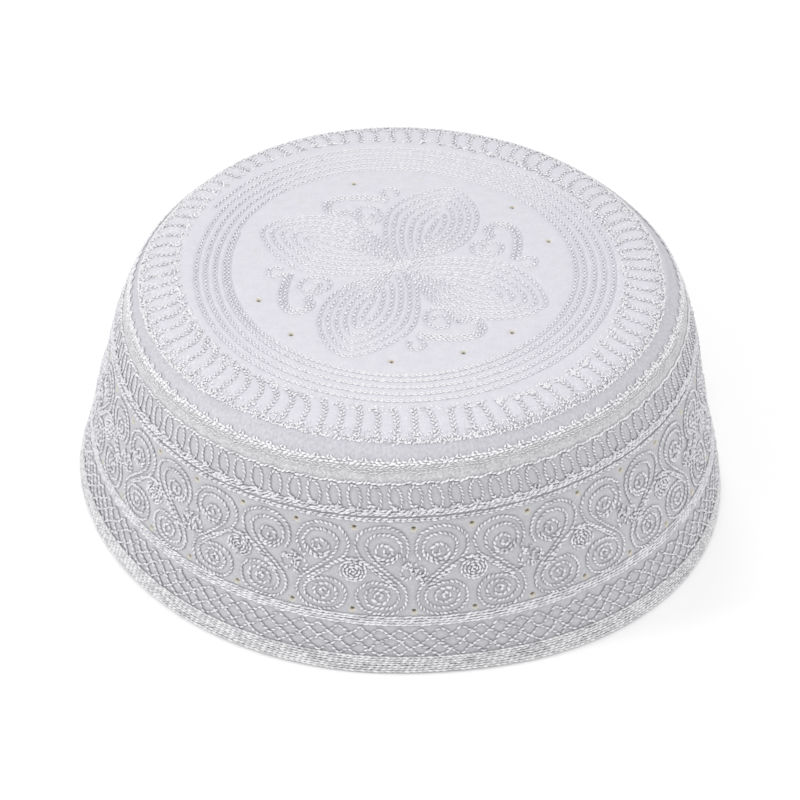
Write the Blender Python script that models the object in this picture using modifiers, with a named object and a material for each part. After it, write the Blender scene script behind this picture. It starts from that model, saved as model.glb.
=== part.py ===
# A white embroidered prayer cap: a flat round crown, a bound seam, a flared side wall and a hem.
# Metres, +Z up. The cap stands on its rim, and the origin is on that surface, under its middle.
import math

import bmesh
import bpy
from mathutils import Matrix, Vector

MM = 0.001

# The cap as it was cut and sewn, round and level.
RIM_RADIUS = 92.5 * MM
CROWN_HEIGHT = 67.4 * MM
CROWN_RISE = 0.6 * MM           # how far the middle of the crown stands above its edge
CROWN_FLAT_RADIUS = 66.4 * MM   # where the crown starts to turn down
SHOULDER_RADIUS = 9.0 * MM      # the round of the turned-down edge
SHOULDER_END = math.radians(49.0)
SIDES = 102                     # three to each column of eyelets
SHOULDER_STEPS = 3
SEWN_GAP = 0.3 * MM             # between two pieces that are sewn together

# The outside of the wall from the crown's edge to the rim.
WALL = (
    # place, outer radius, height
    ("crown_edge", 75.10 * MM, 62.05 * MM),
    ("binding_foot", 77.51 * MM, 56.93 * MM),
    ("upper_row", 81.25 * MM, 44.64 * MM),
    ("frieze_middle", 83.60 * MM, 31.90 * MM),
    ("lower_row", 86.06 * MM, 19.09 * MM),
    ("hem_top", 90.66 * MM, 5.44 * MM),
    ("rim", RIM_RADIUS, 0.0),
)
CLOTH = {"crown_panel": 1.6 * MM, "seam_binding": 2.2 * MM, "side_band": 1.9 * MM, "hem_band": 2.5 * MM}
BINDING_PROUD = 0.45 * MM       # the stitched edge of the binding stands out from the wall
BINDING_EDGE = 2.4 * MM         # and is this deep
HEM_PROUD = 0.25 * MM
HEM_ROUND = 0.5 * MM            # the small round under the hem's two edges

# How the soft cap has settled: a slightly oval rim, and a crown that leans and bulges a little.
RIM_OVAL = 0.968                # depth over width
CROWN_OVAL = 1.017
CROWN_SHIFT = (-1.78 * MM, -0.33 * MM)
CROWN_LEAN = (0.0332, 0.0235)   # rise of the crown towards +X and towards +Y
CROWN_LOBES = 0.0112            # three shallow bulges round the crown
RIM_LOBES = -0.0048
RIM_WAVES = -0.0062             # four shallow waves round the rim

EYELET_RADIUS = 0.6 * MM
EYELET_SIDES = 8
BAND_EYELETS = 34               # in each of the two rows round the side
BAND_EYELET_START = math.radians(-86.7)
CROWN_EYELET_RADIUS = 41.3 * MM
CROWN_EYELETS = (
    # the group's angle, the eyelet's angle from it; the others in the groups are sewn shut
    (17.5, 0.0), (17.5, 25.0),
    (109.5, 0.0),
    (201.5, 0.0), (201.5, 25.0),
    (293.5, -24.5), (293.5, 0.0), (293.5, 25.0),
)
FINISHES = {
    # node: base colour, roughness
    "crown_panel": ((0.80, 0.80, 0.83), 0.55),
    "seam_binding": ((0.80, 0.80, 0.79), 0.60),
    "side_band": ((0.74, 0.74, 0.77), 0.55),
    "hem_band": ((0.77, 0.77, 0.79), 0.60),
}


def clear_scene():
    for item in list(bpy.data.objects):
        bpy.data.objects.remove(item, do_unlink=True)


def make_collection(name):
    collection = bpy.data.collections.new(name)
    bpy.context.scene.collection.children.link(collection)
    return collection


def make_finish(node):
    colour, roughness = FINISHES[node]
    finish = bpy.data.materials.new(node)
    finish.use_nodes = True
    shader = finish.node_tree.nodes["Principled BSDF"]
    shader.inputs["Base Color"].default_value = (*colour, 1.0)
    shader.inputs["Roughness"].default_value = roughness
    shader.inputs["Metallic"].default_value = 0.0
    return finish


def settle_round(point):
    """Move a point of the round, level cap to where it lies on the settled one."""
    radius = math.hypot(point.x, point.y)
    angle = math.atan2(point.y, point.x)
    up = min(max(point.z / CROWN_HEIGHT, 0.0), 1.0)
    lobes = (CROWN_LOBES * up + RIM_LOBES * (1.0 - up)) * math.cos(3.0 * angle)
    waves = RIM_WAVES * (1.0 - up) * math.sin(4.0 * angle)
    oval = RIM_OVAL + (CROWN_OVAL - RIM_OVAL) * up
    x = radius * (1.0 + lobes + waves) * math.cos(angle)
    y = radius * (1.0 + lobes + waves) * math.sin(angle) * oval
    z = point.z + up * (CROWN_LEAN[0] * x + CROWN_LEAN[1] * y)
    return Vector((x + CROWN_SHIFT[0] * up, y + CROWN_SHIFT[1] * up, z))


def rim_middle():
    """The middle of the settled rim's box, which the origin is put under."""
    turn = 2.0 * math.pi / SIDES
    rim = [settle_round(Vector((RIM_RADIUS * math.cos(turn * i), RIM_RADIUS * math.sin(turn * i), 0.0)))
           for i in range(SIDES)]
    xs = [point.x for point in rim]
    ys = [point.y for point in rim]
    return Vector(((min(xs) + max(xs)) / 2.0, (min(ys) + max(ys)) / 2.0, 0.0))


def settle(point, middle):
    return settle_round(point) - middle


def outside_line():
    """The outside from the middle of the crown to the rim: place (None between places), point."""
    part_way = 0.45
    line = [
        ("crown_middle", Vector((0.0, CROWN_HEIGHT + CROWN_RISE))),
        (None, Vector((CROWN_FLAT_RADIUS * part_way, CROWN_HEIGHT + CROWN_RISE * (1.0 - part_way ** 2)))),
        (None, Vector((CROWN_FLAT_RADIUS, CROWN_HEIGHT))),
    ]
    for step in range(1, SHOULDER_STEPS + 1):
        turn = SHOULDER_END * step / SHOULDER_STEPS
        line.append((None, Vector((CROWN_FLAT_RADIUS + SHOULDER_RADIUS * math.sin(turn),
                                   CROWN_HEIGHT - SHOULDER_RADIUS * (1.0 - math.cos(turn))))))
    return line + [(place, Vector((radius, height))) for place, radius, height in WALL]


def stretch(first, last):
    """The outside between two places, as (point, outward normal); it starts one sewn gap after the first."""
    line = outside_line()
    places = [place for place, _ in line]
    points = [point for _, point in line]
    found = []
    for index in range(places.index(first), places.index(last) + 1):
        along = points[min(index + 1, len(points) - 1)] - points[max(index - 1, 0)]
        normal = Vector((-along.y, along.x)).normalized()
        if points[index].x == 0.0:
            normal = Vector((0.0, 1.0))
        found.append((points[index], normal))
    if first != "crown_middle":
        onward = (found[1][0] - found[0][0]).normalized()
        found[0] = (found[0][0] + onward * SEWN_GAP, found[0][1])
    return found


def closed_profile(found, thickness):
    """Down the outside, then back up the inside."""
    outer = [point for point, _ in found]
    inner = [point - normal * thickness for point, normal in found]
    return outer + list(reversed(inner))


def turn_profile(node, profile, middle, parts):
    """Turn a closed or axis-to-axis profile round Z, settle it and give it its finish."""
    mesh = bpy.data.meshes.new(node)
    closed = profile[0].x > 0.0
    edges = [(i, i + 1) for i in range(len(profile) - 1)]
    if closed:
        edges.append((len(profile) - 1, 0))
    mesh.from_pydata([(point.x, 0.0, point.y) for point in profile], edges, [])
    turned = bpy.data.objects.new(node, mesh)
    parts.objects.link(turned)
    screw = turned.modifiers.new("turn", "SCREW")
    screw.axis = "Z"
    screw.steps = SIDES
    screw.render_steps = SIDES
    screw.use_merge_vertices = True
    screw.merge_threshold = 0.00001
    bpy.context.view_layer.update()
    whole = bpy.data.meshes.new_from_object(turned.evaluated_get(bpy.context.evaluated_depsgraph_get()))
    turned.modifiers.remove(screw)
    turned.data = whole
    bpy.data.meshes.remove(mesh)
    whole.name = node
    for vertex in whole.vertices:
        vertex.co = settle(vertex.co, middle)
    whole.shade_smooth()
    whole.set_sharp_from_angle(angle=math.radians(40.0))
    whole.materials.clear()
    whole.materials.append(make_finish(node))
    return turned


def add_eyelet(cutter, radius, height, angle, slope, middle):
    """A short round pin through the wall, square to it; slope is the wall's lean from upright."""
    spot = Vector((radius * math.cos(angle), radius * math.sin(angle), height))
    out = Vector((math.cos(angle) * math.cos(slope), math.sin(angle) * math.cos(slope), math.sin(slope)))
    reach = 3.0 * MM
    centre = settle(spot, middle)
    away = (settle(spot + out * reach, middle) - centre).normalized()
    placed = Matrix.Translation(centre) @ Vector((0.0, 0.0, 1.0)).rotation_difference(away).to_matrix().to_4x4()
    bmesh.ops.create_cone(cutter, cap_ends=True, segments=EYELET_SIDES, radius1=EYELET_RADIUS,
                          radius2=EYELET_RADIUS, depth=2.0 * reach, matrix=placed)


def cut_eyelets(target, spots, middle, cutters):
    cutter = bmesh.new()
    for radius, height, angle, slope in spots:
        add_eyelet(cutter, radius, height, angle, slope, middle)
    mesh = bpy.data.meshes.new(target.name + "_eyelets")
    cutter.to_mesh(mesh)
    cutter.free()
    pins = bpy.data.objects.new(target.name + "_eyelets", mesh)
    pins.hide_render = True
    pins.display_type = "WIRE"
    cutters.objects.link(pins)
    cut = target.modifiers.new("eyelets", "BOOLEAN")
    cut.operation = "DIFFERENCE"
    cut.solver = "EXACT"
    cut.object = pins


def crown_panel(middle, parts, cutters):
    profile = closed_profile(stretch("crown_middle", "crown_edge"), CLOTH["crown_panel"])
    panel = turn_profile("crown_panel", profile, middle, parts)
    spots = [(CROWN_EYELET_RADIUS, CROWN_HEIGHT, math.radians(group + offset), math.radians(90.0))
             for group, offset in CROWN_EYELETS]
    cut_eyelets(panel, spots, middle, cutters)


def seam_binding(middle, parts):
    """A proud stitched edge under the crown's edge, then a plain strip level with the wall."""
    (top, top_out), (foot, foot_out) = stretch("crown_edge", "binding_foot")
    along = (foot - top).normalized()
    out = Vector((-along.y, along.x))
    line = [
        top,
        top + along * BINDING_PROUD + out * BINDING_PROUD,
        top + along * (BINDING_EDGE - BINDING_PROUD) + out * BINDING_PROUD,
        top + along * BINDING_EDGE,
        foot,
        foot - foot_out * CLOTH["seam_binding"],
        top - top_out * CLOTH["seam_binding"],
    ]
    turn_profile("seam_binding", line, middle, parts)


def side_band(middle, parts, cutters):
    found = stretch("binding_foot", "hem_top")
    band = turn_profile("side_band", closed_profile(found, CLOTH["side_band"]), middle, parts)
    places = dict(outside_line())
    spots = []
    for place in ("upper_row", "lower_row"):
        point, normal = next(row for row in found if row[0] == places[place])
        for column in range(BAND_EYELETS):
            angle = BAND_EYELET_START + column * 2.0 * math.pi / BAND_EYELETS
            spots.append((point.x, point.y, angle, math.atan2(normal.y, normal.x)))
    cut_eyelets(band, spots, middle, cutters)


def hem_band(middle, parts):
    """The thick hem, cut level underneath so that the cap stands on it."""
    (top, top_out), (rim, _) = stretch("hem_top", "rim")
    along = (rim - top).normalized()
    out = Vector((-along.y, along.x))
    thick = CLOTH["hem_band"] / out.x
    rise = HEM_ROUND / -along.y
    line = [
        top,
        top + along * HEM_PROUD + out * HEM_PROUD,
        rim - along * rise,
        Vector((rim.x - HEM_ROUND, 0.0)),
        Vector((rim.x - thick + HEM_ROUND, 0.0)),
        Vector((rim.x - thick, 0.0)) - along * rise,
        top - top_out * CLOTH["hem_band"],
    ]
    turn_profile("hem_band", line, middle, parts)


def main():
    clear_scene()
    parts = make_collection("embroidered_cap")
    cutters = make_collection("cutters")
    middle = rim_middle()
    crown_panel(middle, parts, cutters)
    seam_binding(middle, parts)
    side_band(middle, parts, cutters)
    hem_band(middle, parts)


main()
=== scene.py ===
# White embroidered prayer cap: cloth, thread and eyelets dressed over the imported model.
import math
import bpy
import numpy as np
from mathutils import Matrix, Vector
from mathutils.kdtree import KDTree


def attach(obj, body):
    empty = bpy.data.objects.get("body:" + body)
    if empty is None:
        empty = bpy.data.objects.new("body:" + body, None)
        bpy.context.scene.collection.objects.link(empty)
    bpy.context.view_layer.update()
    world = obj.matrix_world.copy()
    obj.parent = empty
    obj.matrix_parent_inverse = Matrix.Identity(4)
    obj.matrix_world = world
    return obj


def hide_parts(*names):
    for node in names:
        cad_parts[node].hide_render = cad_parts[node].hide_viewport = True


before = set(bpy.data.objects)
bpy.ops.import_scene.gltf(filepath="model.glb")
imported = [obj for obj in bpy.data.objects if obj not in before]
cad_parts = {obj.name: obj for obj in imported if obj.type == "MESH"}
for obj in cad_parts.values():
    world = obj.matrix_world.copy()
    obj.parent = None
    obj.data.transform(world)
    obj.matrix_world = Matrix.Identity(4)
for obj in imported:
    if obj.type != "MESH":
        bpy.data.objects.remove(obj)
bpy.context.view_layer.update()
print("frame loaded:", ", ".join(sorted(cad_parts)))

mm = 0.001
rng = np.random.default_rng(11)
tableStep = 0.25                             # mm between the places worked out along the profile

# how the soft cap stands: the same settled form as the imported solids, in millimetres
capForm = {
    "rimRadius": 92.5, "crownHeight": 67.4, "crownRise": 0.6,
    "crownFlat": 66.4, "shoulderRadius": 9.0, "shoulderEnd": 49.0,
    "edgeAngle": 39.3,                       # where the crown's stitched edge lies on its shoulder
    "rimOval": 0.968, "crownOval": 1.017,
    "crownShift": (-1.78, -0.33), "crownLean": (0.0332, 0.0235),
    "crownLobes": 0.0112, "rimLobes": -0.0048, "rimWaves": -0.0062,
    "wall": ((75.10, 62.05), (77.51, 56.93), (81.25, 44.64), (83.60, 31.90),
             (86.06, 19.09), (90.66, 5.44), (92.50, 0.0)),
    # small soft swells and dips of the cloth: angle and its spread, run and its spread, mm outward
    "swells": ((180.0, 28.0, 46.0, 10.0, 1.3), (2.0, 28.0, 52.0, 9.0, 0.9), (-158.0, 42.0, 69.0, 6.0, -0.6),
               (-8.0, 28.0, 69.0, 6.0, -1.1), (-82.0, 20.0, 69.0, 7.0, -1.2), (152.0, 24.0, 2.0, 8.0, -0.9),
               (28.0, 22.0, 2.0, 8.0, -1.1)),
}


def profileTable():
    # one line from the middle of the crown over its edge and down to the rim
    flat, top = capForm["crownFlat"], capForm["crownHeight"]
    rs = np.arange(0.0, flat, 0.5)
    zs = top + capForm["crownRise"] * (1.0 - (rs / flat) ** 2)
    turn = np.radians(np.linspace(0.0, capForm["shoulderEnd"], 18))
    shoulder = capForm["shoulderRadius"]
    rs = np.r_[rs, flat + shoulder * np.sin(turn)]
    zs = np.r_[zs, top - shoulder * (1.0 - np.cos(turn))]
    for radius, height in capForm["wall"]:
        steps = np.linspace(0.0, 1.0, 25)[1:]
        rs = np.r_[rs, rs[-1] + (radius - rs[-1]) * steps]
        zs = np.r_[zs, zs[-1] + (height - zs[-1]) * steps]
    run = np.r_[0.0, np.cumsum(np.hypot(np.diff(rs), np.diff(zs)))]
    even = np.arange(0.0, run[-1], tableStep)
    rs, zs = np.interp(even, run, rs), np.interp(even, run, zs)
    # round the corners between the charted places
    kernel = np.exp(-0.5 * (np.arange(-16, 17) / 6.0) ** 2)
    kernel /= kernel.sum()
    ends = lambda v: np.r_[2 * v[0] - v[16:0:-1], v, 2 * v[-1] - v[-2:-18:-1]]
    rs, zs = np.convolve(ends(rs), kernel, "valid"), np.convolve(ends(zs), kernel, "valid")
    edge = flat + shoulder * math.sin(math.radians(capForm["edgeAngle"]))
    crownPart = slice(0, int(80 / tableStep))
    start = np.interp(edge, rs[crownPart], even[crownPart])
    dr, dz = np.gradient(rs, tableStep), np.gradient(zs, tableStep)
    size = np.hypot(dr, dz)
    return even - start, rs, zs, -dz / size, dr / size


runTable, radiusTable, heightTable, outTable, upTable = profileTable()
rimRun, middleRun = runTable[-1], runTable[0]


def settleRound(radius, height, angle):
    form = capForm
    up = np.clip(height / form["crownHeight"], 0.0, 1.0)
    lobes = (form["crownLobes"] * up + form["rimLobes"] * (1.0 - up)) * np.cos(3.0 * angle)
    waves = form["rimWaves"] * (1.0 - up) * np.sin(4.0 * angle)
    oval = form["rimOval"] + (form["crownOval"] - form["rimOval"]) * up
    x = radius * (1.0 + lobes + waves) * np.cos(angle)
    y = radius * (1.0 + lobes + waves) * np.sin(angle) * oval
    z = height + up * (form["crownLean"][0] * x + form["crownLean"][1] * y)
    return np.stack([x + form["crownShift"][0] * up, y + form["crownShift"][1] * up, z], -1)


rimRing = settleRound(capForm["rimRadius"], 0.0, np.arange(102) * 2.0 * np.pi / 102)
rimMiddle = (rimRing.min(0) + rimRing.max(0)) / 2.0


def swellAt(run, angle):
    total = np.zeros(run.shape)
    for middle, spread, centre, reach, out in capForm["swells"]:
        aside = (angle - middle + 180.0) % 360.0 - 180.0
        total += out * np.exp(-(aside / spread) ** 2 - ((run - centre) / reach) ** 2)
    return total


def onCap(run, angle, lift=0.0):
    # a point on the cloth: run in mm down from the crown's edge (negative on the crown), angle in degrees
    run, angle, lift = np.broadcast_arrays(np.asarray(run, float), np.asarray(angle, float), lift)
    radius = np.interp(run, runTable, radiusTable) + lift * np.interp(run, runTable, outTable)
    radius = radius + swellAt(run, angle)
    height = np.interp(run, runTable, heightTable) + lift * np.interp(run, runTable, upTable)
    return settleRound(radius, height, np.radians(angle)) - rimMiddle


def outOf(run, angle):
    away = onCap(run, angle, 0.5) - onCap(run, angle, 0.0)
    return away / np.linalg.norm(away, axis=-1, keepdims=True)


def crownSpot(x, y):
    # a place on the crown, in mm right and back of its middle, as (run, angle)
    flat = radiusTable[:int(85 / tableStep)]
    return np.interp(np.hypot(x, y), flat, runTable[:len(flat)]), np.degrees(np.arctan2(y, x))


def radiusAt(run):
    return np.interp(run, runTable, radiusTable)


def degreesPerMm(run):
    return 180.0 / math.pi / radiusAt(run)


def smoothLine(points, closed=False, fine=8):
    # a soft curve through a few charted points
    p = np.asarray(points, float)
    if closed:
        p = np.vstack([p[-1], p, p[0], p[1]])
    else:
        p = np.vstack([2 * p[0] - p[1], p, 2 * p[-1] - p[-2]])
    t = np.linspace(0.0, 1.0, fine, endpoint=False)[:, None]
    line = []
    for a, b, c, d in zip(p[:-3], p[1:-2], p[2:-1], p[3:]):
        line.append(0.5 * (2 * b + (c - a) * t + (2 * a - 5 * b + 4 * c - d) * t ** 2
                           + (3 * b - a - 3 * c + d) * t ** 3))
    return np.vstack(line + [p[-2][None]])


# thread: every stitch is a short half-round strand, gathered here by piece
threadStrands = {}
needleLines = []                             # where needles pull the cloth down
reverseLines = []                            # the same lines as run and angle, for the inside


def layStrands(piece, start, end, normal, bow, halfWidth, height, arch, bright=None):
    # bright runs from 0, the thread's dull tone, to 1, a painted highlight; unset, it varies at random
    count = len(start)
    each = lambda v: np.broadcast_to(np.asarray(v, float), (count,)).copy()
    bright = rng.uniform(0.0, 1.0, count) if bright is None else each(bright)
    threadStrands.setdefault(piece, []).append(
        (start, end, normal, each(bow), each(halfWidth), each(height), each(arch), bright))


def evenStops(run, angle, pitch):
    # places a stitch apart along a line on the cloth
    points = onCap(run, angle)
    walked = np.r_[0.0, np.cumsum(np.linalg.norm(np.diff(points, axis=0), axis=1))]
    count = max(int(round(walked[-1] / pitch)), 1)
    stops = np.linspace(0.0, walked[-1], count + 1)
    stops[1:-1] += rng.normal(0.0, 0.11 * pitch, max(count - 1, 0))
    turned = np.unwrap(np.radians(angle))
    return np.interp(stops, walked, run), np.degrees(np.interp(stops, walked, turned))


def needleStops(run, angle, pitch, lift):
    # the places along a line where the needle goes through, noted for the cloth and the inside
    run, angle = evenStops(run, angle, pitch)
    points = onCap(run, angle, lift)
    needleLines.append(points)
    reverseLines.append((run, angle))
    return points, outOf(run, angle)


def stitchFrames(run, angle, pitch, lift, loose):
    # for each stitch of a line: start, end, normal, the ways along and aside, and how it wobbles
    points, normals = needleStops(run, angle, pitch, lift)
    start, end, normal = points[:-1], points[1:], normals[:-1]
    along = end - start
    along /= np.linalg.norm(along, axis=1, keepdims=True)
    return start, end, normal, along, np.cross(normal, along), rng.normal(0.0, loose, (len(start), 2))


def chainStitch(piece, run, angle, pitch=1.6, width=1.0, thick=0.28, slant=0.0, arch=0.2, loose=0.05,
                pearl=0.0):
    # a line of linked loops, each of two strands that part and meet again; a pearl is the plump end of each
    start, end, normal, along, side, wob = stitchFrames(run, angle, pitch, 0.0, loose)
    count, reach = len(start), width / 2.0 - thick
    # painted highlight: brighter where the thread runs left to right, duller where it runs front to back
    paintedShine = 0.5 * along[:, 0] ** 2
    for hand in (-1.0, 1.0):
        tail = start + side * (hand * 0.10 + wob[:, :1] - slant * 0.5)
        head = end + along * 0.22 + side * (hand * 0.16 + wob[:, 1:] + slant * 0.5)
        layStrands(piece, tail, head, normal, hand * reach * (1.0 + wob[:, 0]),
                   thick * (1.0 + rng.normal(0.0, 0.08, count)), thick * (1.05 + 0.12 * hand),
                   arch * (1.0 + 0.5 * hand * (slant != 0.0)),
                   bright=paintedShine + rng.uniform(0.0, 0.25, count) if pearl else None)
    # painted highlight: each pearl is coloured bright
    if pearl:
        size = pearl * (1.0 + rng.normal(0.0, 0.12, (count, 1)))
        layStrands(piece, end - along * size * 1.1, end + along * size, normal, 0.0, size[:, 0],
                   size[:, 0] * 1.15, arch * 0.6, bright=rng.uniform(0.7, 1.0, count))


def backStitch(piece, run, angle, pitch=1.6, thick=0.3, lean=0.12, lift=0.0, arch=0.15, overlap=0.1,
               loose=0.05):
    # a single line of plump stitches, each lying a little across the line
    start, end, normal, along, side, wob = stitchFrames(run, angle, pitch, lift, loose)
    layStrands(piece, start - along * overlap - side * (lean + wob[:, :1]),
               end + along * overlap + side * (lean + wob[:, 1:]), normal, 0.0,
               thick * (1.0 + 0.1 * wob[:, 0] / max(loose, 0.01)), thick * 1.1, arch)


def braid(piece, run, angle, pitch=0.66, length=1.15, thick=0.25, cross=42.0, apart=0.36):
    # a raised line of short stitches that cross it one way and then the other
    points, normal = needleStops(run, angle, pitch, 0.04)
    count = len(points)
    along = np.gradient(points, axis=0)
    along /= np.linalg.norm(along, axis=1, keepdims=True)
    side = np.cross(normal, along)
    hand = np.where(np.arange(count) % 2, 1.0, -1.0)[:, None]
    turn = np.radians(cross + rng.normal(0.0, 9.0, count))[:, None]
    reach = (along * np.cos(turn) + side * hand * np.sin(turn)) * length / 2.0
    middle = points + side * (hand * apart + rng.normal(0.0, 0.07, (count, 1)))
    layStrands(piece, middle - reach, middle + reach, normal, 0.0, thick, thick * 1.1, 0.2)


def looseStitches(piece, run, angle, heading, length, thick=0.3, lift=0.1, arch=0.2):
    # separate stitches at given places; heading in degrees, 0 along the rim and 90 down the wall
    centre, normal = onCap(run, angle, lift), outOf(run, angle)
    across = onCap(run, angle + 0.1) - onCap(run, angle)
    across /= np.linalg.norm(across, axis=1, keepdims=True)
    down = np.cross(across, normal)
    turn = np.radians(heading)[:, None]
    along = across * np.cos(turn) + down * np.sin(turn)
    half = np.asarray(length)[:, None] / 2.0 * np.ones((len(centre), 1))
    bow = rng.normal(0.0, 0.08, len(centre))
    layStrands(piece, centre - along * half, centre + along * half, normal, bow, thick, thick, arch)


fullRound = np.linspace(-180.0, 180.0, 1441)    # all the way round the cap, in degrees


def turned(p, degrees, centre):
    c, s = math.cos(math.radians(degrees)), math.sin(math.radians(degrees))
    return np.stack([c * p[:, 0] - s * p[:, 1] + centre[0], s * p[:, 0] + c * p[:, 1] + centre[1]], 1)


# crown: a flower of four leaves, with a curl between each two
flower = {
    "centre": (-0.2, -0.5),
    "leafAxes": (71.2, 157.3, 250.6, 337.2), "leafReach": (39.9, 42.6, 40.9, 41.8),
    "leafLength": 40.3,
    "leafLeft": ((0, 0), (3.5, 4.2), (6.8, 6.6), (11.1, 8.7), (14.5, 10.1), (18.1, 11.2), (21.5, 12),
                 (24.5, 12), (27.5, 11.2), (30.4, 9.8), (33.9, 7.6), (36.6, 5.3), (38.8, 2.8), (40.3, 0)),
    "leafRight": ((39.9, -1.6), (38.9, -4.2), (37, -6.7), (34.2, -9.1), (30.8, -11.3), (27, -12.5),
                  (23.4, -13), (20, -12.9), (16.9, -12.3), (13.9, -11.2), (11.2, -9.5), (8.6, -7),
                  (5.5, -3.9)),
    "loops": ((0.0, 40.3, 1.0), (1.5, 37.7, 0.81), (4.2, 34.9, 0.62), (7.4, 31.9, 0.43), (10.8, 28.6, 0.23)),
    "leafMiddle": -1.8, "vein": (14.5, 25.0), "leafPitch": 1.85,
    "thread": {"width": 1.15, "thick": 0.2, "arch": 0.1, "loose": 0.07, "pearl": 0.35},
    "curlShift": ((0.0, 0.0), (-1.2, 0.8), (-0.3, 0.0), (1.6, 0.0)),
    "curlHook": ((24.9, 14.3), (23.4, 16.8), (23.9, 18.7), (25.9, 20.2), (28.3, 20.2), (30.3, 18.3),
                 (31.2, 15.3), (31.4, 11.3), (31.0, 7.4), (30.4, 3.9)),
    "curlKnot": ((30.4, 3.9), (32.3, 4.2), (34.2, 5.2), (35.9, 4.2), (36.1, 2.3), (34.7, 0.9), (32.8, 1.3)),
    "curlInner": ((24.9, 14.1), (21.9, 12.1), (19.4, 10.4), (18.7, 7.9), (20.4, 5.7), (23.4, 5.1),
                  (26.0, 6.4), (27.3, 8.9), (26.3, 11.3), (23.9, 11.3), (21.7, 9.9), (21.7, 7.9),
                  (23.4, 7.2)),
}


def sewFlower():
    def sew(line, pitch=1.5):
        chainStitch("flower_stitches", *crownSpot(*line.T), pitch=pitch, **flower["thread"])

    outline = np.asarray(flower["leafLeft"] + flower["leafRight"], float)
    for axis, reach in zip(flower["leafAxes"], flower["leafReach"]):
        stretch = reach / flower["leafLength"]
        for low, high, narrow in flower["loops"]:
            loop = outline.copy()
            loop[:, 0] = (low + outline[:, 0] * (high - low) / flower["leafLength"]) * stretch
            loop[:, 1] = outline[:, 1] * narrow + flower["leafMiddle"] * (1.0 - narrow)
            sew(smoothLine(turned(loop, axis, flower["centre"]), closed=True), flower["leafPitch"])
        vein = np.stack([np.linspace(*flower["vein"], 9) * stretch, np.full(9, flower["leafMiddle"])], 1)
        sew(turned(vein, axis, flower["centre"]), flower["leafPitch"])
    hook = smoothLine(flower["curlHook"])
    away = np.gradient(hook, axis=0)
    away = np.stack([-away[:, 1], away[:, 0]], 1) / np.linalg.norm(away, axis=1, keepdims=True)
    curl = [hook - away * 0.65, hook + away * 0.65]
    curl += [smoothLine(flower[part]) for part in ("curlKnot", "curlInner")]
    for quarter, shift in enumerate(flower["curlShift"]):
        for line in curl:
            sew(turned(line, 90.0 * quarter, np.asarray(flower["centre"]) + shift))
    ring = np.radians(np.arange(0, 361, 15))
    sew(np.stack([1.5 * np.cos(ring), 1.5 * np.sin(ring)], 1) + flower["centre"])


# crown: a spiral of rings round the flower, then a border of hooked legs and a knotted edge
crownBorder = {
    # the outer turn of the spiral, as angle and run, and how far each further turn lies inside it
    "spiral": ((153, -12.8), (140, -13.1), (130, -13.5), (110, -14.5), (95, -15.5), (80, -16.2), (65, -16.7),
               (45, -16.7), (20, -16.4), (0, -16.1), (-30, -15.3), (-50, -15.1), (-70, -15.0), (-85, -15.3),
               (-100, -16.0), (-120, -16.8), (-150, -16.4), (-165, -16.1), (-180, -15.9), (-195, -15.7),
               (-207, -15.42)),
    "turnDrops": (0.0, 2.62, 5.24, 7.86, 10.48), "lastTurn": ((153, 0.0), (-120, 0.6), (-198, 1.9)),
    "ringThread": {"pitch": 1.6, "width": 1.15, "thick": 0.24, "slant": 0.05, "loose": 0.04, "arch": 0.1,
                   "pearl": 0.33},
    "legs": 88,
    # angle, where the legs' tips lie, where the knotted edge ends, and how far the legs hook over
    "drift": ((-195, -9.5, 1.6, 0.1), (-180, -10.3, 1.2, 0.3), (-165, -11.7, 0.2, 0.8),
              (-150, -12.6, 0.0, 1.0), (-135, -13.2, -0.7, 1.0), (-120, -13.7, -1.4, 1.0),
              (-105, -13.0, -1.1, 0.6), (-90, -12.2, -0.5, 0.2), (-75, -11.4, 0.0, -0.1),
              (-60, -10.0, 0.5, 0.0), (-45, -9.5, 0.4, -0.1), (-30, -11.2, 0.0, -0.6),
              (-15, -12.5, -0.8, -0.7), (0, -13.2, -2.4, -0.2), (15, -13.8, -2.0, 0.6),
              (30, -14.2, -2.0, 1.0), (60, -13.0, -2.0, 1.0), (75, -12.4, -2.2, 0.5),
              (90, -11.3, -2.4, 0.1), (105, -10.2, -2.0, 0.0), (120, -9.2, -1.0, 0.0),
              (135, -8.6, 0.0, 0.0), (150, -9.0, 1.0, 0.0), (165, -9.5, 1.6, 0.1)),
    # one leg from the edge to its tip: share of the way, and degrees to one side
    "leg": ((0.0, 0.0), (0.16, 0.1), (0.38, 0.2), (0.6, -0.1), (0.77, -1.0), (0.89, -2.4), (0.97, -3.8),
            (1.0, -4.8)),
    "loopTops": (-68.0, -38.0),              # between these angles a little loop stands on each leg
    "knots": 3300, "tipKnots": 550, "fineTips": 420,
    # from angle, to angle, count: where fine stitches lie between the legs
    "busy": ((-225.0, -128.0, 1250), (-105.0, -45.0, 260), (-45.0, 25.0, 320)),
}


def borderPlace(angle):
    # tips, edge and hook of the legs at an angle round the crown
    table = np.asarray(crownBorder["drift"], float)
    turn = (np.asarray(angle, float) + 195.0) % 360.0 - 195.0
    table = np.vstack([table, table[0] + [360.0, 0.0, 0.0, 0.0]])
    return [np.interp(turn, table[:, 0], table[:, k]) for k in (1, 2, 3)]


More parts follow.
